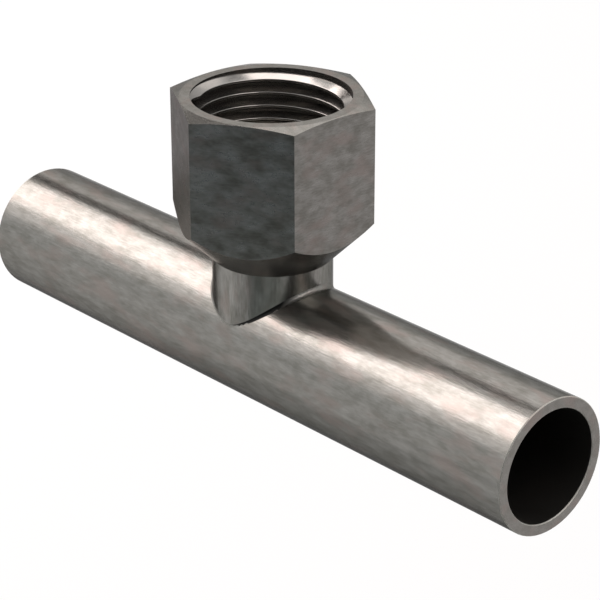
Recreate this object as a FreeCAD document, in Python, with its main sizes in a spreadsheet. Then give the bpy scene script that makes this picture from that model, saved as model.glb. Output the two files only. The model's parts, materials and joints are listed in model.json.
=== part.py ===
"""Press fit tee: a plain-ended run tube with a hexagonal, internally threaded branch.

The run's axis lies along X and the branch's axis along Z, and the origin is where they
cross. Lengths are in millimetres and angles in degrees. The fitting is one piece: the
tube and the neck are one round stock size apart, the boss is a hexagon bar turned to a
cone underneath and to a shallow chamfer on its face, and the bore is drilled, then
opened at the mouth to the thread's major diameter. The thread itself isn't cut here:
the bore is left at the diameter of its crests.
"""
import FreeCAD, Part
import os

import Sketcher

# The sizes that can be set by themselves
DRIVING = {
    # run tube
    "run_length": 100,
    "tube_diameter": 18,
    "tube_wall": 1.5,
    "tube_edge_break": 0.12,
    # neck: how far its side stays inside the tube's, its straight part above the
    # tube's crown, its wall, and the fillet where it meets the tube
    "neck_inset": 1,
    "neck_length": 3,
    "neck_wall": 1.5,
    "saddle_fillet": 0.6,
    # hexagonal boss, from the foot of its cone to its face
    "boss_length": 22,
    "hex_across_flats": 24,
    "cone_angle": 45,
    "face_chamfer_inset": 0.15,
    "face_chamfer_angle": 15,
    # parallel pipe thread of 14 threads to the inch
    "thread_major_diameter": 20.955,
    "thread_pitch": 1.814,
    "thread_height_in_pitches": 0.640327,
    "thread_flank_angle": 27.5,
    "thread_depth": 15,
    "mouth_recess_depth": 0.6,
    "drill_point_angle": 120,
    # how far turned cuts and their tools reach past the stock
    "tool_overrun": 1,
}

# The places and radii that follow from them, as expressions on the sheet
TUBE_RADIUS = "(dims.tube_diameter / 2)"
RUN_BORE_RADIUS = f"({TUBE_RADIUS} - dims.tube_wall)"
NECK_RADIUS = f"({TUBE_RADIUS} - dims.neck_inset)"
WATERWAY_RADIUS = f"({NECK_RADIUS} - dims.neck_wall)"
BOSS_FOOT = f"({TUBE_RADIUS} + dims.neck_length)"
FACE_HEIGHT = f"({BOSS_FOOT} + dims.boss_length)"

FLAT_RADIUS = "(dims.hex_across_flats / 2)"
TURNING_RADIUS = f"({FLAT_RADIUS} / cos(30) + dims.tool_overrun)"
CHAMFER_RADIUS = f"({FLAT_RADIUS} - dims.face_chamfer_inset)"
CHAMFER_DROP = f"(({TURNING_RADIUS} - {CHAMFER_RADIUS}) * tan(dims.face_chamfer_angle))"
CONE_RISE = f"(({TURNING_RADIUS} - {NECK_RADIUS}) * tan(dims.cone_angle))"

MAJOR_RADIUS = "(dims.thread_major_diameter / 2)"
THREAD_HEIGHT = "(dims.thread_height_in_pitches * dims.thread_pitch)"
CREST_RADIUS = f"({MAJOR_RADIUS} - {THREAD_HEIGHT})"
RECESS_FLOOR = f"({FACE_HEIGHT} - dims.mouth_recess_depth)"
LEAD_IN_FLOOR = f"({RECESS_FLOOR} - {THREAD_HEIGHT} * tan(dims.thread_flank_angle))"
THREAD_FLOOR = f"({FACE_HEIGHT} - dims.thread_depth)"
DRILL_POINT_HEIGHT = f"(({CREST_RADIUS} - {WATERWAY_RADIUS}) / tan(dims.drill_point_angle / 2))"
DRILL_FLOOR = f"({THREAD_FLOOR} - {DRILL_POINT_HEIGHT})"

TOLERANCE = 1e-4


def make_sheet(document):
    """Write the driving sizes into the sheet, each in a cell with its own alias."""
    sheet = document.addObject("Spreadsheet::Sheet", "dims")
    for row, (alias, value) in enumerate(DRIVING.items(), start=1):
        sheet.set(f"A{row}", alias)
        sheet.set(f"B{row}", str(value))
        sheet.setAlias(f"B{row}", alias)
    document.recompute()
    return sheet


def value_of(item, expression):
    """The number that an expression on the sheet gives."""
    return float(item.evalExpression(expression))


def add_sketch(body, name, plane_role, height=None):
    """A sketch on one of the body's own planes, raised along the plane's normal."""
    sketch = body.newObject("Sketcher::SketchObject", name)
    plane = next(item for item in body.Origin.OriginFeatures if item.Role == plane_role)
    sketch.AttachmentSupport = [(plane, "")]
    sketch.MapMode = "FlatFace"
    if height:
        sketch.setExpression("AttachmentOffset.Base.z", height)
    return sketch


def set_size(sketch, constraint, expression):
    """Add a dimension to a sketch and bind it to the sheet."""
    index = sketch.addConstraint(constraint)
    sketch.setExpression(f"Constraints[{index}]", expression)


def draw_circle(sketch, radius):
    """A circle about the sketch's origin."""
    start = value_of(sketch, radius)
    circle = sketch.addGeometry(Part.Circle(FreeCAD.Vector(), FreeCAD.Vector(0, 0, 1), start))
    sketch.addConstraint(Sketcher.Constraint("Coincident", circle, 3, -1, 1))
    set_size(sketch, Sketcher.Constraint("Radius", circle, start), radius)


def draw_outline(sketch, corners):
    """A closed outline of straight lines through corners given as (radius, height).

    A corner with None for its radius lies on the vertical axis, and one with None for
    its height lies on the horizontal axis.
    """
    places = [tuple(value_of(sketch, size) if size else 0.0 for size in corner) for corner in corners]
    points = [FreeCAD.Vector(radius, height, 0) for radius, height in places]
    count = len(points)
    lines = [
        sketch.addGeometry(Part.LineSegment(points[step], points[(step + 1) % count]))
        for step in range(count)
    ]
    for step, line in enumerate(lines):
        sketch.addConstraint(Sketcher.Constraint("Coincident", lines[step - 1], 2, line, 1))
    for line, (radius, height), (across, up) in zip(lines, corners, places):
        if radius:
            set_size(sketch, Sketcher.Constraint("DistanceX", -1, 1, line, 1, across), radius)
        else:
            sketch.addConstraint(Sketcher.Constraint("PointOnObject", line, 1, -2))
        if height:
            set_size(sketch, Sketcher.Constraint("DistanceY", -1, 1, line, 1, up), height)
        else:
            sketch.addConstraint(Sketcher.Constraint("PointOnObject", line, 1, -1))


def draw_hexagon(sketch, flat_radius):
    """A regular hexagon with two corners on the vertical axis, sized across its flats."""
    half_width = value_of(sketch, flat_radius)
    corner_radius = value_of(sketch, f"{flat_radius} / cos(30)")
    normal = FreeCAD.Vector(0, 0, 1)
    corners = [
        FreeCAD.Rotation(normal, 30 + 60 * step).multVec(FreeCAD.Vector(corner_radius, 0, 0))
        for step in range(6)
    ]
    sides = [
        sketch.addGeometry(Part.LineSegment(corners[step - 1], corners[step]))
        for step in range(6)
    ]
    circle = sketch.addGeometry(Part.Circle(FreeCAD.Vector(), normal, corner_radius), True)
    sketch.addConstraint(Sketcher.Constraint("Coincident", circle, 3, -1, 1))
    for step, side in enumerate(sides):
        sketch.addConstraint(Sketcher.Constraint("Coincident", sides[step - 1], 2, side, 1))
        sketch.addConstraint(Sketcher.Constraint("PointOnObject", side, 1, circle))
    for side in sides[1:]:
        sketch.addConstraint(Sketcher.Constraint("Equal", sides[0], side))
    sketch.addConstraint(Sketcher.Constraint("PointOnObject", sides[1], 2, -2))
    set_size(sketch, Sketcher.Constraint("DistanceX", -1, 1, sides[0], 2, half_width), flat_radius)


def add_pad(body, name, sketch, length, midplane=False):
    """Thicken a sketch into solid stock."""
    pad = body.newObject("PartDesign::Pad", name)
    pad.Profile = sketch
    pad.Midplane = midplane
    pad.setExpression("Length", length)
    return pad


def add_groove(body, name, corners):
    """Turn away material: a closed outline swept once round the branch's axis."""
    sketch = add_sketch(body, f"{name}_outline", "XZ_Plane")
    draw_outline(sketch, corners)
    groove = body.newObject("PartDesign::Groove", name)
    groove.Profile = sketch
    groove.ReferenceAxis = (sketch, ["V_Axis"])
    groove.Angle = 360
    return groove


def edge_names(shape, wanted):
    """The names of the edges whose ends and middle all pass a test."""
    names = []
    for number, edge in enumerate(shape.Edges, start=1):
        first, last = edge.ParameterRange
        points = [edge.valueAt(first), edge.valueAt((first + last) / 2), edge.valueAt(last)]
        if all(wanted(point) for point in points):
            names.append(f"Edge{number}")
    return names


def add_run_tube(body):
    """The run's round stock, still solid."""
    section = add_sketch(body, "tube_section", "YZ_Plane")
    draw_circle(section, TUBE_RADIUS)
    return add_pad(body, "run_tube", section, "dims.run_length", midplane=True)


def add_neck(body):
    """The neck, from the run's axis up to the foot of the boss."""
    section = add_sketch(body, "neck_section", "XY_Plane")
    draw_circle(section, NECK_RADIUS)
    return add_pad(body, "neck", section, BOSS_FOOT)


def add_saddle_fillet(document, body, neck):
    """Round the corner where the neck sits on the tube."""
    document.recompute()
    tube_radius = value_of(body, TUBE_RADIUS)
    neck_radius = value_of(body, NECK_RADIUS)

    def on_saddle(point):
        on_tube = abs(FreeCAD.Vector(0, point.y, point.z).Length - tube_radius) < TOLERANCE
        on_neck = abs(FreeCAD.Vector(point.x, point.y, 0).Length - neck_radius) < TOLERANCE
        return on_tube and on_neck

    fillet = body.newObject("PartDesign::Fillet", "saddle_round")
    fillet.Base = (neck, edge_names(neck.Shape, on_saddle))
    fillet.setExpression("Radius", "dims.saddle_fillet")
    return fillet


def add_boss(body):
    """The hexagon bar, turned to a cone underneath and chamfered on its face."""
    section = add_sketch(body, "hexagon_section", "XY_Plane", height=BOSS_FOOT)
    draw_hexagon(section, FLAT_RADIUS)
    add_pad(body, "hexagon_bar", section, "dims.boss_length")
    add_groove(body, "underside_cone", [
        (NECK_RADIUS, BOSS_FOOT),
        (TURNING_RADIUS, BOSS_FOOT),
        (TURNING_RADIUS, f"{BOSS_FOOT} + {CONE_RISE}"),
    ])
    add_groove(body, "face_chamfer", [
        (CHAMFER_RADIUS, FACE_HEIGHT),
        (TURNING_RADIUS, f"{FACE_HEIGHT} - {CHAMFER_DROP}"),
        (TURNING_RADIUS, FACE_HEIGHT),
    ])


def add_run_bore(body):
    """The tube's bore, right through the run."""
    section = add_sketch(body, "run_bore_section", "YZ_Plane")
    draw_circle(section, RUN_BORE_RADIUS)
    pocket = body.newObject("PartDesign::Pocket", "run_bore")
    pocket.Profile = section
    pocket.Midplane = True
    pocket.setExpression("Length", "dims.run_length + 2 * dims.tool_overrun")
    return pocket


def add_branch_bore(body):
    """The waterway, the tapping hole with its drill point, and the mouth."""
    return add_groove(body, "branch_bore", [
        (None, None),
        (WATERWAY_RADIUS, None),
        (WATERWAY_RADIUS, DRILL_FLOOR),
        (CREST_RADIUS, THREAD_FLOOR),
        (CREST_RADIUS, LEAD_IN_FLOOR),
        (MAJOR_RADIUS, RECESS_FLOOR),
        (MAJOR_RADIUS, f"{FACE_HEIGHT} + dims.tool_overrun"),
        (None, f"{FACE_HEIGHT} + dims.tool_overrun"),
    ])


def add_edge_break(document, body, base):
    """Take the burr off the four round edges at the tube's ends."""
    document.recompute()
    half_run = value_of(body, "dims.run_length / 2")

    def on_end(point):
        return abs(abs(point.x) - half_run) < TOLERANCE

    chamfer = body.newObject("PartDesign::Chamfer", "tube_edge_break")
    chamfer.Base = (base, edge_names(base.Shape, on_end))
    chamfer.setExpression("Size", "dims.tube_edge_break")
    return chamfer


def build_tee(document):
    """The whole fitting, as one body."""
    body = document.addObject("PartDesign::Body", "tee_body")
    body.Label = "tee_body"
    body.Placement = FreeCAD.Placement()
    add_run_tube(body)
    neck = add_neck(body)
    add_saddle_fillet(document, body, neck)
    add_boss(body)
    add_run_bore(body)
    branch_bore = add_branch_bore(body)
    add_edge_break(document, body, branch_bore)
    document.recompute()
    return body


def check_features(document, body):
    """Stop if anything failed, or if a step changed nothing."""
    for item in document.Objects:
        if {"Invalid", "Error"} & set(item.State):
            raise RuntimeError(f"{item.Label} did not build: {item.State}")
    volume = 0.0
    for feature in body.Group:
        if not feature.isDerivedFrom("PartDesign::Feature"):
            continue
        change = feature.Shape.Volume - volume
        adds = feature.TypeId in ("PartDesign::Pad", "PartDesign::Fillet")
        if (change > 0) != adds:
            raise RuntimeError(f"{feature.Label} changed the volume by {change:.3f}")
        print(f"{feature.Label:16s} {change:+12.3f} mm3")
        volume = feature.Shape.Volume
    if body.Shape.isNull() or not body.Shape.isValid() or len(body.Shape.Solids) != 1:
        raise RuntimeError("the body isn't one valid solid")


document = FreeCAD.newDocument("press_fit_tee")
make_sheet(document)
tee = build_tee(document)
check_features(document, tee)

os.makedirs("parts", exist_ok=True)
tee.Shape.exportStep(f"parts/{tee.Label}.step")
print(f"{tee.Label}: {tee.Shape.Volume:.1f} mm3, {len(tee.Shape.Faces)} faces")
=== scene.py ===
"""The finish of a press fit tee: its steel, the pipe thread in its branch and the studio.

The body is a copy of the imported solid. Its branch is opened from the diameter of the
thread's crests to the major diameter, and the thread is a helical ridge on that wall.
"""
import json
import math

import bmesh
import bpy
from mathutils import Matrix, Vector


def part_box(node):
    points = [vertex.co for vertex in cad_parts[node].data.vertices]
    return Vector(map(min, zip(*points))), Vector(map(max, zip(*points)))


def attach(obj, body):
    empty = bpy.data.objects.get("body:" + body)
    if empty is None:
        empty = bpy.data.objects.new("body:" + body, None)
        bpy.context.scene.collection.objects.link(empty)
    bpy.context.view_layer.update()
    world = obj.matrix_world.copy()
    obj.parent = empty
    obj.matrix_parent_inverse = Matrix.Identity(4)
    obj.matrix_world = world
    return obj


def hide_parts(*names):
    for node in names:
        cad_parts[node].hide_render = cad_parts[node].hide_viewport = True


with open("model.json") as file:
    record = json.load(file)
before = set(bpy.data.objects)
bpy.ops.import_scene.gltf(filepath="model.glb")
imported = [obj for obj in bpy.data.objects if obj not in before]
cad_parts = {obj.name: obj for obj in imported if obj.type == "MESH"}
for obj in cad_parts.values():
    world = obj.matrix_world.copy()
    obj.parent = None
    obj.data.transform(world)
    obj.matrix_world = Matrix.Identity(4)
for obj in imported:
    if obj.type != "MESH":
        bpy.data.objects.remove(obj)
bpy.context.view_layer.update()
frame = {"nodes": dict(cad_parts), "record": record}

bl_info = {
    "name": "Press Fit Tee",
    "version": (1, 0, 0),
    "blender": (4, 5, 0),
    "location": "View3D > Sidebar > Press Fit Tee",
    "description": "Dresses a press fit tee in worn steel and cuts its pipe thread",
    "category": "Object",
}

MM = 0.001
NODE = "tee_body"
MOUNTS = {mount["name"]: mount for mount in frame["record"]["mounts"]}
CREST_RADIUS = MOUNTS["branch_thread"]["dims"]["r_mm"] * MM
FACE_HEIGHT = MOUNTS["branch_face"]["pos_m"][2]
TUBE_RADIUS = MOUNTS["spigot_left"]["dims"]["r_mm"] * MM
RUN_BORE_RADIUS = MOUNTS["run_bore"]["dims"]["r_mm"] * MM
RUN_END = MOUNTS["spigot_right"]["pos_m"][0]
HEXAGON_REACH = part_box(NODE)[1][1]
FLAT_RADIUS = HEXAGON_REACH * math.cos(math.radians(30))
RUN_AXIS = Vector((1, 0, 0))
BRANCH_AXIS = Vector((0, 0, 1))

# How far a vertex may lie from the round surface that it belongs to
ON_SURFACE = 0.01 * MM
# Vertices nearer than this to each other are one
MERGE = ON_SURFACE / 10
# The largest turn between a facet of a round surface and that surface's own normal
FACET_TURN = math.radians(5)
# A facet that leans less than this along an axis is a long thin one of a straight cylinder
LEVEL = 0.01
# Edges that turn by more than this are edges of the real part, and stay sharp
SHARP_TURN = math.radians(12)

# The broken edges and the face's chamfer lie nearer than this to the part's ends
NEAR_END = 0.5 * MM
# How far the seam's fillet reaches above the tube
SEAM_REACH = 1 * MM
# The waterway's wall lies within this distance of the branch's axis, above this height
WATERWAY_REACH = 6.6 * MM
WATERWAY_FOOT = 0.7 * TUBE_RADIUS
# How far a face looks along an axis: straight, at a slant and next to not at all
FULLY = 0.9
PARTLY = 0.3
HARDLY = 0.1

# The bloom's patches are this many times as wide as the clouds
BLOOM_GROWTH = 2.2
# The clouds are drawn out by this power of the grain, so less than the marks are
CLOUD_DRAW = 0.4
# How rough the noise of every pattern is
NOISE_ROUGHNESS = 0.6
# Levels of the noise between which the skin's colour, its bloom and its gloss change
SKIN_LEVELS = (0.35, 0.65)
BLOOM_LEVELS = (0.5, 0.7)
GLOSS_LEVELS = (0.3, 0.7)
# How far the bloom covers the steel where it is strongest
BLOOM_COVER = 0.6
# How much rougher the steel is in its dark clouds and on its light marks
CLOUD_DULLING = 0.02
MARK_DULLING = 0.03
# Heights of the clouds and of the marks, as shares of the unevenness
CLOUD_HEIGHT = 0.2
MARK_HEIGHT = 0.5
# The share of steel's own gloss, which a film of oil and dirt keeps just under the whole
METALLIC = 0.93

# Where the seam is painted black, as painted shade of the narrow gap at the neck's foot: along
# each axis, where it is clear and where it is black
PAINTED_SHADE_BOUNDS = (
    ("Y", -0.5 * MM, -1.5 * MM),
    ("X", 0.2 * MM, 2.2 * MM),
    ("X", 7.7 * MM, 6.7 * MM),
)

# The steel's finishes, in the order of the fitting's material list. Each has its grain
# and what else sets it apart, as steel_material takes them
FINISHES = {
    # Drawn tube, polished lengthwise: satin, with marks along the run
    "drawn_steel_tube": ((10, 1, 1), {"contrast": 1.6}),
    # Turned neck: marks that the light draws upright
    "turned_steel_neck": ((1, 1, 8), {"contrast": 2.0}),
    # Milled flats of the hexagon: duller and darker, with level clouds
    "milled_steel_hexagon": ((5, 5, 1), {"contrast": 2.0, "shade": 0.88, "roughness": 0.3}),
    # Faced rings round the mouth and at the tube's ends: even, and a little brighter
    "faced_steel_ring": ((1, 1, 1), {"shade": 1.06}),
    # Cut wall between the thread's ridges, and the step at the mouth: even
    "cut_steel_wall": ((1, 1, 1), {}),
    # Scaled inside of the run and the waterway: dark and dull
    "scaled_steel_bore": ((4, 1, 1), {"colours": ("bore_scale",) * 3, "roughness": 0.5}),
    # Seam at the neck's foot: dull, and painted black on its near right side, as painted shade
    # of the narrow gap there
    "sooted_steel_seam": ((1, 1, 1), {"roughness": 0.4, "soot": True}),
    # Broken edges of the tube's ends: rough, so that they don't flash, and painted bright, a
    # painted highlight for the light line along the ends' edges
    "broken_steel_edge": ((1, 1, 1), {"shade": 1.9, "roughness": 0.6}),
    # Turned cone under the hexagon: even, and painted brighter than the neck's turned steel,
    # as painted light that lifts the shade under the hexagon
    "turned_steel_cone": ((1, 1, 1), {"shade": 1.35}),
    # Milled front flat: broad, strong blotches and faint marks
    "blotched_steel_flat": ((5, 5, 1), {
        "contrast": 2.8, "shade": 0.88, "roughness": 0.3, "waves": 0.5,
        "cloud_growth": 1.6, "mark_share": 0.15}),
    # Drilled floor under the thread: bright and rough, so that it lights the ridges
    "drilled_steel_floor": ((1, 1, 1), {"shade": 2.4, "roughness": 0.6}),
}

# Cut ridge of the thread: bright and smooth, with turning marks round the branch
THREAD_GRAIN = (8, 8, 1)
THREAD_FINISH = {
    "colours": ("cut_steel", "cut_steel", "light_steel"), "roughness": 0.18, "waves": 0.5,
}

# Straight steps in the rounded corner of a crest
CREST_STEPS = 5
# The ridge's size at its very ends, as a share, which keeps its caps from closing up
END_SHARE = 0.02


def linear(hex_colour):
    """An sRGB hex colour as linear red, green, blue and alpha."""
    channels = [int(hex_colour[place:place + 2], 16) / 255 for place in (1, 3, 5)]
    return [
        value / 12.92 if value <= 0.04045 else ((value + 0.055) / 1.055) ** 2.4
        for value in channels
    ] + [1.0]


def add_node(tree, kind, inputs=None, **settings):
    """Add a node, set its properties, and give each named input a value or a link."""
    node = tree.nodes.new(kind)
    for name, value in settings.items():
        setattr(node, name, value)
    for key, value in (inputs or {}).items():
        if isinstance(key, str):
            socket = next(each for each in node.inputs if each.name == key and each.enabled)
        else:
            socket = node.inputs[key]
        if isinstance(value, bpy.types.NodeSocket):
            tree.links.new(value, socket)
        else:
            socket.default_value = value
    return node


class TeeSteel(bpy.types.PropertyGroup):
    """The colours and the grain of the steel."""

    light_steel: bpy.props.FloatVectorProperty(
        name="Light steel", description="Steel where its skin is brightest",
        subtype="COLOR", size=4, min=0, max=1, default=linear("#888783"))
    dark_steel: bpy.props.FloatVectorProperty(
        name="Dark steel", description="Steel under the duller clouds of its skin",
        subtype="COLOR", size=4, min=0, max=1, default=linear("#777671"))
    warm_steel: bpy.props.FloatVectorProperty(
        name="Warm steel", description="The faint brown bloom on the steel",
        subtype="COLOR", size=4, min=0, max=1, default=linear("#897f7a"))
    edge_steel: bpy.props.FloatVectorProperty(
        name="Edge steel", description="Tint of the steel's reflection at grazing angles",
        subtype="COLOR", size=4, min=0, max=1, default=linear("#a2a2a2"))
    cut_steel: bpy.props.FloatVectorProperty(
        name="Cut steel", description="The bare steel of the thread",
        subtype="COLOR", size=4, min=0, max=1, default=linear("#9c9995"))
    # Painted shade: this black stands in for the shade of the narrow gap at the neck's foot
    seam_painted_shade: bpy.props.FloatVectorProperty(
        name="Seam painted shade", description="The black line in the seam at the neck's foot",
        subtype="COLOR", size=4, min=0, max=1, default=linear("#242423"))
    bore_scale: bpy.props.FloatVectorProperty(
        name="Bore scale", description="The dark scale inside the run and the waterway",
        subtype="COLOR", size=4, min=0, max=1, default=linear("#4a4845"))
    # The clouds of wear and handling are a millimetre or so across
    cloud_size: bpy.props.FloatProperty(
        name="Cloud size", description="Width of the clouds in the steel's skin",
        unit="LENGTH", precision=5, default=1.2 * MM)
    # Real polishing marks are some hundredths of a millimetre wide, which is too fine to
    # show in the render, so they are drawn this much coarser
    mark_size: bpy.props.FloatProperty(
        name="Mark size", description="Width of the polishing marks",
        unit="LENGTH", precision=5, default=0.2 * MM)
    unevenness: bpy.props.FloatProperty(
        name="Unevenness", description="Height of the waves that fray a reflection's edge",
        unit="LENGTH", precision=6, default=0.02 * MM)
    roughness: bpy.props.FloatProperty(
        name="Roughness", description="Roughness of the steel between its clouds",
        subtype="FACTOR", min=0, max=1, default=0.22)


class TeeThread(bpy.types.PropertyGroup):
    """The parallel pipe thread in the branch."""

    major_diameter: bpy.props.FloatProperty(
        name="Major diameter", description="Diameter at the thread's roots",
        unit="LENGTH", precision=5, default=20.955 * MM)
    depth: bpy.props.FloatProperty(
        name="Depth", description="Depth of the threaded hole below the face",
        unit="LENGTH", precision=5, default=15 * MM)
    pitch: bpy.props.FloatProperty(
        name="Pitch", description="Rise of the thread in one turn",
        unit="LENGTH", precision=5, default=1.814 * MM)
    flank_angle: bpy.props.FloatProperty(
        name="Flank angle", description="Slope of a flank, half of the thread's angle",
        subtype="ANGLE", default=math.radians(27.5))
    crest_round: bpy.props.FloatProperty(
        name="Crest round", description="Radius of the ridge's rounded crest",
        unit="LENGTH", precision=5, default=0.12 * MM)
    root_flat: bpy.props.FloatProperty(
        name="Root flat", description="Width of the flat between two ridges",
        unit="LENGTH", precision=5, default=0.302 * MM)
    top_depth: bpy.props.FloatProperty(
        name="Top depth", description="Depth of the ridge's top end below the face",
        unit="LENGTH", precision=5, default=0.108 * MM)
    top_angle: bpy.props.FloatProperty(
        name="Top angle", description="Plan angle at which the ridge ends at the top",
        subtype="ANGLE", default=math.radians(239.1))
    run_out_angle: bpy.props.FloatProperty(
        name="Run-out angle", description="The turn over which an end of the ridge fades away",
        subtype="ANGLE", default=math.radians(23.1))
    footing: bpy.props.FloatProperty(
        name="Footing", description="How deep the ridge's foot is sunk in the wall",
        unit="LENGTH", precision=5, default=0.1 * MM)
    steps_per_turn: bpy.props.IntProperty(
        name="Steps per turn", description="Straight steps in one turn of the ridge",
        min=12, default=120)


class TeeStudio(bpy.types.PropertyGroup):
    """The camera, the floor and the soft lights."""

    camera_azimuth: bpy.props.FloatProperty(
        name="Camera azimuth", description="Turn of the camera about the branch, from -Y",
        subtype="ANGLE", default=math.radians(47.4317))
    camera_elevation: bpy.props.FloatProperty(
        name="Camera elevation", description="Height of the camera above the horizon",
        subtype="ANGLE", default=math.radians(25.0333))
    camera_distance: bpy.props.FloatProperty(
        name="Camera distance", description="From the camera to the point it looks at",
        unit="LENGTH", precision=4, default=314.7457 * MM)
    camera_target: bpy.props.FloatVectorProperty(
        name="Camera target", description="The point that the camera looks at",
        subtype="TRANSLATION", size=3, precision=4, default=(7.7289 * MM, 0, 5.8691 * MM))
    lens: bpy.props.FloatProperty(
        name="Lens", description="Focal length in millimetres on a 36 mm sensor",
        min=1, default=144.566)
    shift: bpy.props.FloatVectorProperty(
        name="Lens shift", description="The frame's offset as a share of its width",
        size=2, precision=4, default=(-0.0206, 0.0212))
    floor_drop: bpy.props.FloatProperty(
        name="Floor drop", description="How far the floor lies below the tube",
        unit="LENGTH", default=90 * MM)
    ceiling: bpy.props.FloatProperty(
        name="Ceiling", description="Height of the soft lamps above the run's axis",
        unit="LENGTH", default=0.7)
    floor_size: bpy.props.FloatProperty(
        name="Floor size", description="Width of the floor", unit="LENGTH", default=8.0)
    floor_colour: bpy.props.FloatVectorProperty(
        name="Floor colour", description="The pale floor",
        subtype="COLOR", size=4, min=0, max=1, default=linear("#f2f2f2"))
    floor_glow: bpy.props.FloatProperty(
        name="Floor glow", description="Share of plain white in the floor as it is seen",
        subtype="FACTOR", min=0, max=1, default=0.85)
    ambience: bpy.props.FloatProperty(
        name="Ambience", description="Strength of the world as a light on matt surfaces",
        min=0, default=0.3)


def spoke(point, axis):
    """The unit vector from an axis through the origin straight out to a point."""
    return (point - axis * point.dot(axis)).normalized()


def reach(point, axis):
    """How far a point lies from an axis through the origin."""
    return (point - axis * point.dot(axis)).length


def link(name, data):
    """A new object of the scene at the origin."""
    piece = bpy.data.objects.new(name, data)
    bpy.context.scene.collection.objects.link(piece)
    return piece


def blank_material(name):
    """A new material with an empty node tree."""
    material = bpy.data.materials.new(name)
    material.use_nodes = True
    material.node_tree.nodes.clear()
    return material


def crease(mesh):
    """Shade a mesh smooth between its real edges."""
    shape = bmesh.new()
    shape.from_mesh(mesh)
    for face in shape.faces:
        face.smooth = True
    for edge in shape.edges:
        edge.smooth = len(edge.link_faces) == 2 and edge.calc_face_angle(0) < SHARP_TURN
    shape.to_mesh(mesh)
    shape.free()


def open_branch(mesh, major_radius, depth):
    """Move the branch's wall out from the thread's crests to its roots."""
    shape = bmesh.new()
    shape.from_mesh(mesh)
    bmesh.ops.remove_doubles(shape, verts=shape.verts, dist=MERGE)
    floor = FACE_HEIGHT - depth - ON_SURFACE
    nearest = CREST_RADIUS - 2 * ON_SURFACE
    farthest = major_radius + 2 * ON_SURFACE
    wall = [
        face for face in shape.faces
        if all(
            vertex.co.z > floor and nearest < reach(vertex.co, BRANCH_AXIS) < farthest
            for vertex in face.verts
        )
    ]
    before = len(shape.faces)
    moved = bmesh.ops.extrude_face_region(shape, geom=wall)["geom"]
    for item in moved:
        if isinstance(item, bmesh.types.BMVert):
            item.co = spoke(item.co, BRANCH_AXIS) * major_radius + BRANCH_AXIS * item.co.z
    bmesh.ops.delete(shape, geom=[face for face in wall if face.is_valid], context="FACES")
    bmesh.ops.remove_doubles(shape, verts=shape.verts, dist=MERGE)
    bmesh.ops.dissolve_degenerate(shape, edges=shape.edges, dist=MERGE)
    # The rims' new faces come last in any order, and this makes it the same in every run
    shape.verts.index_update()
    shape.faces.index_update()
    shape.faces.sort(key=lambda face: (
        face.index if face.index < before else before + face.verts[0].index))
    shape.to_mesh(mesh)
    shape.free()


def round_normal(points, normal):
    """The true normals at a facet's corners where it lies on a cylinder or cone, or None."""
    for axis, limit in ((RUN_AXIS, TUBE_RADIUS), (BRANCH_AXIS, HEXAGON_REACH)):
        if max(reach(point, axis) for point in points) > limit + ON_SURFACE:
            continue
        lean = normal.dot(axis)
        if abs(lean) < LEVEL:
            lean = 0
        spokes = [spoke(point, axis) for point in points]
        outward = math.copysign(math.sqrt(max(0, 1 - lean ** 2)), normal.dot(spokes[0]))
        profile = [lean * point.dot(axis) + outward * reach(point, axis) for point in points]
        true = [axis * lean + out * outward for out in spokes]
        if max(profile) - min(profile) < ON_SURFACE and all(
            normal.angle(each, math.pi) < FACET_TURN for each in true
        ):
            return true
    return None


def true_normals(mesh):
    """Give the corners of round faces the normals of their cylinder or cone."""
    normals = [Vector(corner.vector) for corner in mesh.corner_normals]
    for face in mesh.polygons:
        points = [mesh.vertices[index].co for index in face.vertices]
        true = round_normal(points, face.normal)
        if true:
            for corner, normal in zip(face.loop_indices, true):
                normals[corner] = normal
    mesh.normals_split_custom_set(normals)


def skin_patterns(tree, place, grain, steel, cloud_growth):
    """The clouds, the bloom and the marks of the steel's skin, as noise of a real size."""
    soft = [length ** CLOUD_DRAW for length in grain]
    patterns = []
    # Each pattern's width, how far it is drawn out, its detail and its shift off the others
    for size, stretch, detail, shift in (
        (steel.cloud_size * cloud_growth, soft, 3.0, 0.0),
        (steel.cloud_size * BLOOM_GROWTH, soft, 2.0, 0.31),
        (steel.mark_size, grain, 2.0, 0.17),
    ):
        mapped = add_node(tree, "ShaderNodeMapping", {
            "Vector": place,
            "Location": (shift, -shift, shift / 2),
            "Scale": [1 / length for length in stretch],
        }).outputs["Vector"]
        patterns.append(add_node(tree, "ShaderNodeTexNoise", {
            "Vector": mapped, "Scale": 1 / size, "Detail": detail,
            "Roughness": NOISE_ROUGHNESS,
        }).outputs[0])
    return patterns


def painted_shade_mask(tree, place):
    """How far the painted shade covers the seam: wholly on its near right side, and less round
    that. The black stands in for the shade of the narrow gap at the neck's foot.
    """
    axes = add_node(tree, "ShaderNodeSeparateXYZ", {0: place}).outputs
    mask = 1.0
    for axis, clear, black in PAINTED_SHADE_BOUNDS:
        cover = add_node(tree, "ShaderNodeMapRange", {
            "Value": axes[axis], "From Min": clear, "From Max": black,
        }).outputs["Result"]
        mask = add_node(tree, "ShaderNodeMath", {
            0: mask, 1: cover,
        }, operation="MULTIPLY").outputs[0]
    return mask


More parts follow.
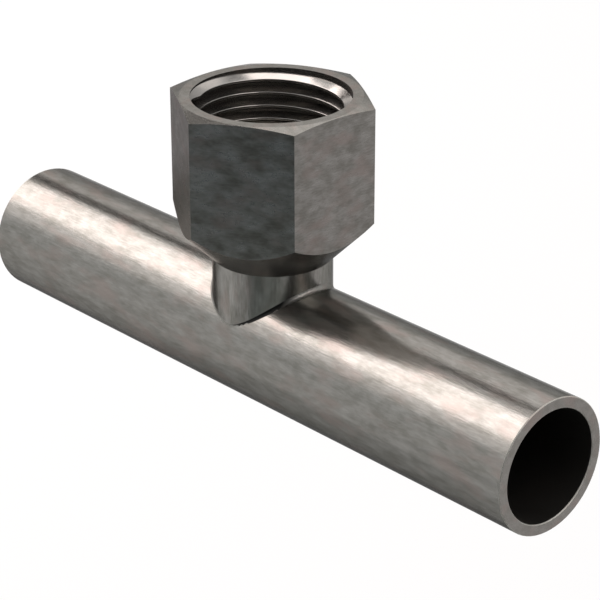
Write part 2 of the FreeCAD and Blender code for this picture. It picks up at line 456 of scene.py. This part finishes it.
def steel_material(name, grain, steel, colours=("light_steel", "dark_steel", "warm_steel"),
                   contrast=1.0, shade=1.0, roughness=None, waves=1.0, cloud_growth=1.0,
                   mark_share=0.35, soot=False):
    """Steel with a clouded skin and fine polishing marks drawn out along a grain.

    The grain is how many times longer the marks are along X, Y and Z. The colours are the
    names of the light, the dark and the warm steel, and the contrast is how strongly the
    first two differ. Shade darkens or brightens all of them. Without a roughness of its
    own, a material has the steel's. Waves and cloud growth are multiples of the
    unevenness and of the clouds' size, and the mark share is the marks' part in the
    skin. The seam's painted shade blackens the near right side of the seam round the neck's
    foot, standing in for the shade of the narrow gap there.
    """
    material = blank_material(name)
    tree = material.node_tree
    place = add_node(tree, "ShaderNodeTexCoord").outputs["Object"]
    clouds, bloom, marks = skin_patterns(tree, place, grain, steel, cloud_growth)
    light, dark, warm = (getattr(steel, each) for each in colours)
    further = [(high - low) * (contrast - 1) / 2 for high, low in zip(light, dark)]
    light = [high + step for high, step in zip(light, further)]
    dark = [low - step for low, step in zip(dark, further)]
    roughness = steel.roughness if roughness is None else roughness

    # What the patterns do to the steel: the pattern, its levels and the effect at each
    effects = {
        "cloud skin": (clouds, SKIN_LEVELS, (0.0, 1.0)),
        "mark skin": (marks, SKIN_LEVELS, (0.0, 1.0)),
        "bloom": (bloom, BLOOM_LEVELS, (0.0, BLOOM_COVER)),
        "cloud roughness": (
            clouds, GLOSS_LEVELS, (roughness + CLOUD_DULLING, roughness - CLOUD_DULLING)),
        "mark roughness": (marks, GLOSS_LEVELS, (-MARK_DULLING, MARK_DULLING)),
        "cloud height": (clouds, (0.0, 1.0), (0.0, CLOUD_HEIGHT)),
        "mark height": (marks, (0.0, 1.0), (0.0, MARK_HEIGHT)),
    }
    spread = {
        effect: add_node(tree, "ShaderNodeMapRange", {
            "Value": pattern, "From Min": low, "From Max": high,
            "To Min": at_low, "To Max": at_high,
        }).outputs["Result"]
        for effect, (pattern, (low, high), (at_low, at_high)) in effects.items()
    }
    skin = add_node(tree, "ShaderNodeMix", {
        "Factor": mark_share, "A": spread["cloud skin"], "B": spread["mark skin"],
    }).outputs[0]
    rough, height = (
        add_node(tree, "ShaderNodeMath", {
            0: spread[f"cloud {effect}"], 1: spread[f"mark {effect}"],
        }, operation="ADD").outputs[0]
        for effect in ("roughness", "height")
    )

    # The coats that lie on the dark steel
    coats = [(skin, light), (spread["bloom"], warm)]
    # The seam's painted shade: black laid over the steel on the near right side of the neck's
    # foot, for the shade of the gap there
    if soot:
        coats.append((painted_shade_mask(tree, place), steel.seam_painted_shade))
    base = dark
    for cover, colour in coats:
        base = add_node(tree, "ShaderNodeMix", {
            "Factor": cover, "A": base, "B": colour,
        }, data_type="RGBA").outputs[2]
    base = add_node(tree, "ShaderNodeVectorMath", {
        "Vector": base, "Scale": shade,
    }, operation="SCALE").outputs["Vector"]
    bump = add_node(tree, "ShaderNodeBump", {
        "Strength": 1.0, "Distance": steel.unevenness * waves, "Height": height,
    })
    shader = add_node(tree, "ShaderNodeBsdfPrincipled", {
        "Base Color": base, "Roughness": rough, "Normal": bump.outputs["Normal"],
        "Metallic": METALLIC, "Specular Tint": steel.edge_steel,
    })
    add_node(tree, "ShaderNodeOutputMaterial", {"Surface": shader.outputs["BSDF"]})
    return material


class TEE_OT_fitting(bpy.types.Operator):
    """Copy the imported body, open its branch for the thread and give it its steel"""

    bl_idname = "tee.fitting"
    bl_label = "Fitting"

    def execute(self, context):
        steel, thread = context.scene.tee_steel, context.scene.tee_thread
        mesh = frame["nodes"][NODE].data.copy()
        mesh.name = "fitting"
        mesh.materials.clear()
        open_branch(mesh, thread.major_diameter / 2, thread.depth)
        crease(mesh)
        true_normals(mesh)
        piece = link("fitting", mesh)
        for name, (grain, settings) in FINISHES.items():
            mesh.materials.append(steel_material(name, grain, steel, **settings))
        names = list(FINISHES)
        for face in mesh.polygons:
            finish = self.finish_of(face.center, face.normal, thread)
            face.material_index = names.index(finish)
        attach(piece, "root")
        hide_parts(NODE)
        return {"FINISHED"}

    def finish_of(self, centre, normal, thread):
        """The name of the finish of the surface that a face belongs to."""
        from_run, from_branch = reach(centre, RUN_AXIS), reach(centre, BRANCH_AXIS)
        upright, endwise = normal.dot(BRANCH_AXIS), abs(normal.dot(RUN_AXIS))
        if from_run < RUN_BORE_RADIUS + ON_SURFACE and normal.dot(spoke(centre, RUN_AXIS)) < 0:
            return "scaled_steel_bore"
        if abs(centre.x) > RUN_END - NEAR_END and endwise > PARTLY:
            return "faced_steel_ring" if endwise > FULLY else "broken_steel_edge"
        if centre.z > FACE_HEIGHT - NEAR_END and upright > FULLY:
            return "faced_steel_ring"
        inside = from_branch < thread.major_diameter / 2 and (
            normal.dot(spoke(centre, BRANCH_AXIS)) < HARDLY)
        if inside and from_branch < WATERWAY_REACH and centre.z > WATERWAY_FOOT:
            return "scaled_steel_bore"
        if inside and centre.z > FACE_HEIGHT / 2:
            floor = FACE_HEIGHT - thread.depth + ON_SURFACE
            drilled = upright > PARTLY and centre.z < floor
            return "drilled_steel_floor" if drilled else "cut_steel_wall"
        if from_run < TUBE_RADIUS + ON_SURFACE:
            return "drawn_steel_tube"
        if abs(upright) < HARDLY and from_branch > FLAT_RADIUS - ON_SURFACE:
            front = normal.x > PARTLY and normal.y < -PARTLY
            return "blotched_steel_flat" if front else "milled_steel_hexagon"
        # The seam round the neck's foot, whose finish holds the painted shade of its gap
        if upright > 2 * LEVEL and centre.z < TUBE_RADIUS + SEAM_REACH:
            return "sooted_steel_seam"
        return "turned_steel_cone" if upright < -PARTLY else "turned_steel_neck"


class TEE_OT_thread(bpy.types.Operator):
    """Wind the thread's ridge down the wall of the branch with Geometry Nodes"""

    bl_idname = "tee.thread"
    bl_label = "Thread"

    def execute(self, context):
        steel, thread = context.scene.tee_steel, context.scene.tee_thread
        material = steel_material("cut_steel_thread", THREAD_GRAIN, steel, **THREAD_FINISH)
        major = thread.major_diameter / 2
        height = major - CREST_RADIUS
        # The ridge's foot ends a root's flat above the floor
        rise = thread.depth - thread.top_depth - thread.pitch
        tree = self.build_tree()
        piece = link("socket_thread", bpy.data.meshes.new("socket_thread"))
        modifier = piece.modifiers.new("thread", "NODES")
        modifier.node_group = tree
        values = {
            "Major radius": major,
            "Ridge height": height,
            "Flank drop": height * math.tan(thread.flank_angle),
            "Foot drop": thread.pitch - thread.root_flat,
            "Footing": thread.footing,
            "Crest round": thread.crest_round,
            "Rise": rise,
            "Turns": rise / thread.pitch,
            "Top": FACE_HEIGHT - thread.top_depth,
            "Top angle": thread.top_angle,
            "Run-out turns": thread.run_out_angle / math.tau,
            "Steps per turn": thread.steps_per_turn,
            "Material": material,
        }
        for item in tree.interface.items_tree:
            if item.item_type == "SOCKET" and item.in_out == "INPUT":
                modifier[item.identifier] = values[item.name]
        context.view_layer.update()
        graph = context.evaluated_depsgraph_get()
        mesh = bpy.data.meshes.new_from_object(piece.evaluated_get(graph))
        mesh.name = "socket_thread"
        piece.modifiers.clear()
        piece.data = mesh
        if not mesh.polygons:
            raise RuntimeError("the thread's tree made no faces")
        crease(mesh)
        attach(piece, "root")
        return {"FINISHED"}

    def build_tree(self):
        """A tree that sweeps the ridge's section along a helix and fades both its ends.

        The helix follows the foot of the ridge's upper flank, and the section is scaled
        about that line at the ends, so the ridge runs out as the upper flank narrows.
        """
        tree = bpy.data.node_groups.new("pipe_thread", "GeometryNodeTree")
        tree.is_modifier = True
        new_socket = tree.interface.new_socket
        for name in ("Major radius", "Ridge height", "Flank drop", "Foot drop", "Footing",
                     "Crest round", "Rise", "Turns", "Top", "Top angle", "Run-out turns"):
            new_socket(name, in_out="INPUT", socket_type="NodeSocketFloat")
        new_socket("Steps per turn", in_out="INPUT", socket_type="NodeSocketInt")
        new_socket("Material", in_out="INPUT", socket_type="NodeSocketMaterial")
        new_socket("Geometry", in_out="OUTPUT", socket_type="NodeSocketGeometry")
        known = {socket.name: socket for socket in add_node(tree, "NodeGroupInput").outputs}
        known["Point"] = add_node(tree, "GeometryNodeInputIndex").outputs[0]
        known["Along"] = add_node(tree, "GeometryNodeSplineParameter").outputs["Factor"]

        # The arithmetic, a step on each line: what it gives, its operation and its terms
        for name, operation, *terms in (
            # The section reaches in to the crest, and its flanks go on into the footing
            ("Inward", "MULTIPLY", "Ridge height", -1.0),
            ("Flank slope", "DIVIDE", "Flank drop", "Ridge height"),
            ("Footing rise", "MULTIPLY", "Footing", "Flank slope"),
            ("Upper foot", "MULTIPLY", "Footing rise", -1.0),
            ("Lower crest", "SUBTRACT", "Foot drop", "Flank drop"),
            ("Lower foot", "ADD", "Foot drop", "Footing rise"),
            # Only the crest's corners are rounded, which are the points 1 and 2 of 0 to 3
            ("From middle", "SUBTRACT", "Point", 1.5),
            ("Off middle", "ABSOLUTE", "From middle"),
            ("At crest", "LESS_THAN", "Off middle", 1.0),
            ("Rounding", "MULTIPLY", "At crest", "Crest round"),
            # The section grows to its full size over the run-out at each end
            ("From start", "MULTIPLY", "Along", "Turns"),
            ("To end", "SUBTRACT", "Turns", "From start"),
            ("Nearer end", "MINIMUM", "From start", "To end"),
            ("Run-out share", "DIVIDE", "Nearer end", "Run-out turns"),
            ("Capped share", "MINIMUM", "Run-out share", 1.0),
            ("Size", "MAXIMUM", "Capped share", END_SHARE),
            # The helix starts at the ridge's lower end, and ends at the top angle
            ("Whole turn", "MULTIPLY", "Turns", math.tau),
            ("Start angle", "SUBTRACT", "Top angle", "Whole turn"),
            ("Start height", "SUBTRACT", "Top", "Rise"),
        ):
            known[name] = add_node(tree, "ShaderNodeMath", {
                place: known.get(term, term) for place, term in enumerate(terms)
            }, operation=operation).outputs[0]

        helix = add_node(tree, "GeometryNodeCurveSpiral", {
            "Resolution": known["Steps per turn"], "Rotations": known["Turns"],
            "Start Radius": known["Major radius"], "End Radius": known["Major radius"],
            "Height": known["Rise"], "Reverse": True,
        }).outputs["Curve"]
        upright = add_node(
            tree, "GeometryNodeSetCurveNormal", {"Curve": helix}, mode="Z_UP").outputs[0]
        # The section's corners: X out from the branch's axis, and Y down
        corners = {
            corner: add_node(tree, "ShaderNodeCombineXYZ", {
                "X": known[out], "Y": known[down],
            }).outputs[0]
            for corner, out, down in (
                ("Point 1", "Footing", "Lower foot"),
                ("Point 2", "Inward", "Lower crest"),
                ("Point 3", "Inward", "Flank drop"),
                ("Point 4", "Footing", "Upper foot"),
            )
        }
        section = add_node(
            tree, "GeometryNodeCurvePrimitiveQuadrilateral", corners, mode="POINTS",
        ).outputs["Curve"]
        rounded = add_node(tree, "GeometryNodeFilletCurve", {
            "Curve": section, "Count": CREST_STEPS, "Radius": known["Rounding"],
            "Limit Radius": True,
        }, mode="POLY").outputs["Curve"]
        ridge = add_node(tree, "GeometryNodeCurveToMesh", {
            "Curve": upright, "Profile Curve": rounded, "Scale": known["Size"],
            "Fill Caps": True,
        }).outputs["Mesh"]
        raised, turned = (
            add_node(tree, "ShaderNodeCombineXYZ", {"Z": known[name]}).outputs[0]
            for name in ("Start height", "Start angle")
        )
        placed = add_node(tree, "GeometryNodeTransform", {
            "Geometry": ridge, "Translation": raised, "Rotation": turned,
        }).outputs["Geometry"]
        real = add_node(tree, "GeometryNodeRealizeInstances", {"Geometry": placed}).outputs[0]
        dressed = add_node(tree, "GeometryNodeSetMaterial", {
            "Geometry": real, "Material": known["Material"],
        }).outputs[0]
        add_node(tree, "NodeGroupOutput", {"Geometry": dressed})
        return tree


# Soft lamps that hang level over the fitting. Each has its middle, its turn about the
# vertical in degrees, its length and its width, in heights of the ceiling, and its
# brightness, where plain white is 1
LAMPS = {
    "overhead_softbox": ((-1.222, -0.285), -24, 1.4, 1.2, 4.3),
    "front_softbox": ((-1.578, -0.977), -24, 1.6, 2.6, 1.06),
    "back_softbox": ((-1.36, 1.056), -26, 2.4, 1.5, 0.75),
    "zenith_softbox": ((-0.25, 0.107), 36, 0.64, 0.4, 2.6),
    "right_softbox": ((1.45, 0.2), 0, 1.9, 0.9, 1.6),
}

# The lamps' faintly warm white
LAMP_COLOUR = "#fff3f0"

# Level cards that only the steel sees, as metal is photographed. Each has the colour that
# it shows, its height and its corners in plan, in metres, and where it isn't 1 its
# brightness. Those just under the lamps draw the tube's bands and shape the thread's
# bright flank, and those low down are what the neck, the flats and the cone mirror
LEVEL_CARDS = {
    "gap_card": ("#101010", 0.69, (
        (-1.25, 0.16), (-0.757, 0.22), (-0.36, 0.10), (-0.38, 0.264), (-1.4, 0.65))),
    "veil_card": ("#f0f0f0", 0.688, (
        (-0.66, -0.01), (-0.35, -0.025), (-0.35, 0.06), (-0.66, 0.15))),
    "edge_veil_card": ("#ffffff", 0.695, (
        (-0.66, 0.12), (-0.74, 0.14), (-0.98, 0.14), (-0.98, 0.28), (-0.66, 0.20)), 1.6),
    "mouth_card": ("#b4b4b4", 0.69, (
        (-0.14, 0.31), (-0.02, 0.31), (-0.02, 0.48), (-0.16, 0.48))),
    "dusk_card": ("#202020", 0.69, (
        (0.02, -0.556), (0.60, -0.116), (0.76, -0.324), (0.18, -0.764))),
    "left_near_card": ("#d4d4d4", -0.075, (
        (-0.09, -0.12), (-0.09, -0.25), (0.005, -0.25), (0.005, -0.12))),
    "patch_card": ("#242424", -0.075, (
        (0.055, -0.045), (0.17, -0.06), (0.17, 0.0), (0.055, 0.0))),
    "lower_card": ("#dcdcdc", -0.075, (
        (-0.085, -0.08), (0.0, -0.08), (0.0, 0.013), (-0.085, 0.013))),
    "near_card": ("#9aa09d", -0.075, (
        (0.005, -0.10), (0.005, -0.21), (0.30, -0.21), (0.30, -0.05))),
    "far_card": ("#50606a", -0.075, (
        (0.005, -0.21), (0.005, -0.60), (0.50, -0.60), (0.50, -0.21))),
    "under_card": ("#a1a1a1", -0.075, (
        (-0.16, 0.013), (0.02, 0.013), (0.02, 0.07), (-0.05, 0.14), (-0.16, 0.14))),
    "right_card": ("#f2edee", -0.075, (
        (0.1, 0.05), (0.4, 0.05), (0.4, 0.4), (0.1, 0.4))),
    "left_card": ("#e6dfe1", -0.075, (
        (-0.5, 0.0), (-0.199, 0.0), (-0.199, 0.15), (-0.5, 0.15))),
}

# Upright cards: the colour, the two ends of the foot in plan, and the heights of the foot
# and of the top. One stands behind the left arm, and one in front of the run's near end
UPRIGHT_CARDS = {
    "back_card": ("#b2b2b2", ((-1.2, 0.8), (-0.3, 0.8)), -0.2, 0.01),
    "room_card": ("#101010", ((0.103, -0.774), (0.70, -0.227)), -0.09, 0.40),
}

# The camera's nearest and farthest sight, in metres
CLIP = (0.01, 50)


class TEE_OT_studio(bpy.types.Operator):
    """Set the pale floor, the white surroundings, the soft lights and the camera"""

    bl_idname = "tee.studio"
    bl_label = "Studio"

    def execute(self, context):
        studio = context.scene.tee_studio
        self.make_floor(studio)
        self.make_world(context.scene, studio)
        for name, (colour, height, plan, *brightness) in LEVEL_CARDS.items():
            self.make_card(name, colour, [(x, y, height) for x, y in plan], *brightness)
        for name, (colour, (start, end), foot, top) in UPRIGHT_CARDS.items():
            corners = [(*start, foot), (*end, foot), (*end, top), (*start, top)]
            self.make_card(name, colour, corners)
        for name, settings in LAMPS.items():
            self.make_lamp(name, studio.ceiling, *settings)
        self.make_camera(context.scene, studio)
        context.scene.view_settings.view_transform = "Standard"
        return {"FINISHED"}

    def seen(self, tree):
        """1 for a ray from the camera, a reflection or glass, and 0 for matt light."""
        path = add_node(tree, "ShaderNodeLightPath").outputs
        first = add_node(tree, "ShaderNodeMath", {
            0: path["Is Camera Ray"], 1: path["Is Glossy Ray"],
        }, operation="MAXIMUM").outputs[0]
        return add_node(tree, "ShaderNodeMath", {
            0: first, 1: path["Is Transmission Ray"],
        }, operation="MAXIMUM").outputs[0]

    def make_floor(self, studio):
        """Matt white board, that shows plain white but keeps the fitting's shadow."""
        half = studio.floor_size / 2
        level = -TUBE_RADIUS - studio.floor_drop
        mesh = bpy.data.meshes.new("floor")
        corners = [(-half, -half), (half, -half), (half, half), (-half, half)]
        mesh.from_pydata([(x, y, level) for x, y in corners], [], [(0, 1, 2, 3)])
        material = blank_material("white_board_floor")
        tree = material.node_tree
        share = add_node(tree, "ShaderNodeMath", {
            0: self.seen(tree), 1: studio.floor_glow,
        }, operation="MULTIPLY").outputs[0]
        matt = add_node(tree, "ShaderNodeBsdfDiffuse", {"Color": studio.floor_colour})
        white = add_node(tree, "ShaderNodeEmission", {"Strength": 1.0})
        both = add_node(tree, "ShaderNodeMixShader", {
            0: share, 1: matt.outputs[0], 2: white.outputs[0],
        })
        add_node(tree, "ShaderNodeOutputMaterial", {"Surface": both.outputs[0]})
        mesh.materials.append(material)
        link("floor", mesh)

    def make_world(self, scene, studio):
        """White all round where it is seen, and dimmer as a light on matt surfaces."""
        world = bpy.data.worlds.new("white_studio")
        world.use_nodes = True
        tree = world.node_tree
        tree.nodes.clear()
        strength = add_node(tree, "ShaderNodeMapRange", {
            "Value": self.seen(tree), "To Min": studio.ambience, "To Max": 1.0,
        }).outputs["Result"]
        shade = add_node(tree, "ShaderNodeBackground", {
            "Color": (1, 1, 1, 1), "Strength": strength,
        })
        add_node(tree, "ShaderNodeOutputWorld", {"Surface": shade.outputs[0]})
        scene.world = world

    def make_lamp(self, name, ceiling, middle, turn, length, width, brightness):
        """A soft lamp under the ceiling that shines straight down."""
        lamp = bpy.data.lights.new(name, "AREA")
        lamp.shape = "RECTANGLE"
        lamp.size, lamp.size_y = length * ceiling, width * ceiling
        lamp.energy = brightness * math.pi * lamp.size * lamp.size_y
        lamp.color = linear(LAMP_COLOUR)[:3]
        place = Matrix.Translation((middle[0] * ceiling, middle[1] * ceiling, ceiling))
        link(name, lamp).matrix_world = place @ Matrix.Rotation(math.radians(turn), 4, "Z")

    def make_card(self, name, colour, corners, brightness=1.0):
        """A card that only reflections see."""
        mesh = bpy.data.meshes.new(name)
        mesh.from_pydata(corners, [], [range(len(corners))])
        material = blank_material(name)
        tree = material.node_tree
        shine = add_node(tree, "ShaderNodeEmission", {
            "Color": linear(colour), "Strength": brightness,
        })
        add_node(tree, "ShaderNodeOutputMaterial", {"Surface": shine.outputs[0]})
        mesh.materials.append(material)
        card = link(name, mesh)
        card.visible_camera = False
        card.visible_diffuse = False
        card.visible_shadow = False

    def make_camera(self, scene, studio):
        """The camera at the photograph's angle, distance and framing."""
        turn, rise = studio.camera_azimuth, studio.camera_elevation
        back = Vector((
            math.sin(turn) * math.cos(rise), -math.cos(turn) * math.cos(rise), math.sin(rise)))
        right = BRANCH_AXIS.cross(back).normalized()
        lens = bpy.data.cameras.new("camera")
        lens.lens = studio.lens
        lens.sensor_fit = "HORIZONTAL"
        lens.shift_x, lens.shift_y = studio.shift
        lens.clip_start, lens.clip_end = CLIP
        camera = link("camera", lens)
        place = Matrix((right, back.cross(right), back)).transposed().to_4x4()
        place.translation = Vector(studio.camera_target) + back * studio.camera_distance
        camera.matrix_world = place
        scene.camera = camera


class TEE_PT_panel(bpy.types.Panel):
    """Sizes, colours and steps of the press fit tee"""

    bl_idname = "TEE_PT_panel"
    bl_label = "Press Fit Tee"
    bl_space_type = "VIEW_3D"
    bl_region_type = "UI"
    bl_category = "Press Fit Tee"

    def draw(self, context):
        scene = context.scene
        for settings, operator in (
            (scene.tee_steel, TEE_OT_fitting),
            (scene.tee_thread, TEE_OT_thread),
            (scene.tee_studio, TEE_OT_studio),
        ):
            box = self.layout.box()
            for name in settings.__annotations__:
                box.prop(settings, name)
            box.operator(operator.bl_idname)


CLASSES = (
    TeeSteel, TeeThread, TeeStudio, TEE_OT_fitting, TEE_OT_thread, TEE_OT_studio, TEE_PT_panel,
)


def register():
    """Register the classes and hang the settings on the scene."""
    for each in CLASSES:
        bpy.utils.register_class(each)
    bpy.types.Scene.tee_steel = bpy.props.PointerProperty(type=TeeSteel)
    bpy.types.Scene.tee_thread = bpy.props.PointerProperty(type=TeeThread)
    bpy.types.Scene.tee_studio = bpy.props.PointerProperty(type=TeeStudio)


def unregister():
    """Undo register."""
    del bpy.types.Scene.tee_studio
    del bpy.types.Scene.tee_thread
    del bpy.types.Scene.tee_steel
    for each in reversed(CLASSES):
        bpy.utils.unregister_class(each)


def main():
    """Make every piece and the stage in order."""
    register()
    bpy.ops.tee.fitting()
    bpy.ops.tee.thread()
    bpy.ops.tee.studio()


if __name__ == "__main__":
    main()
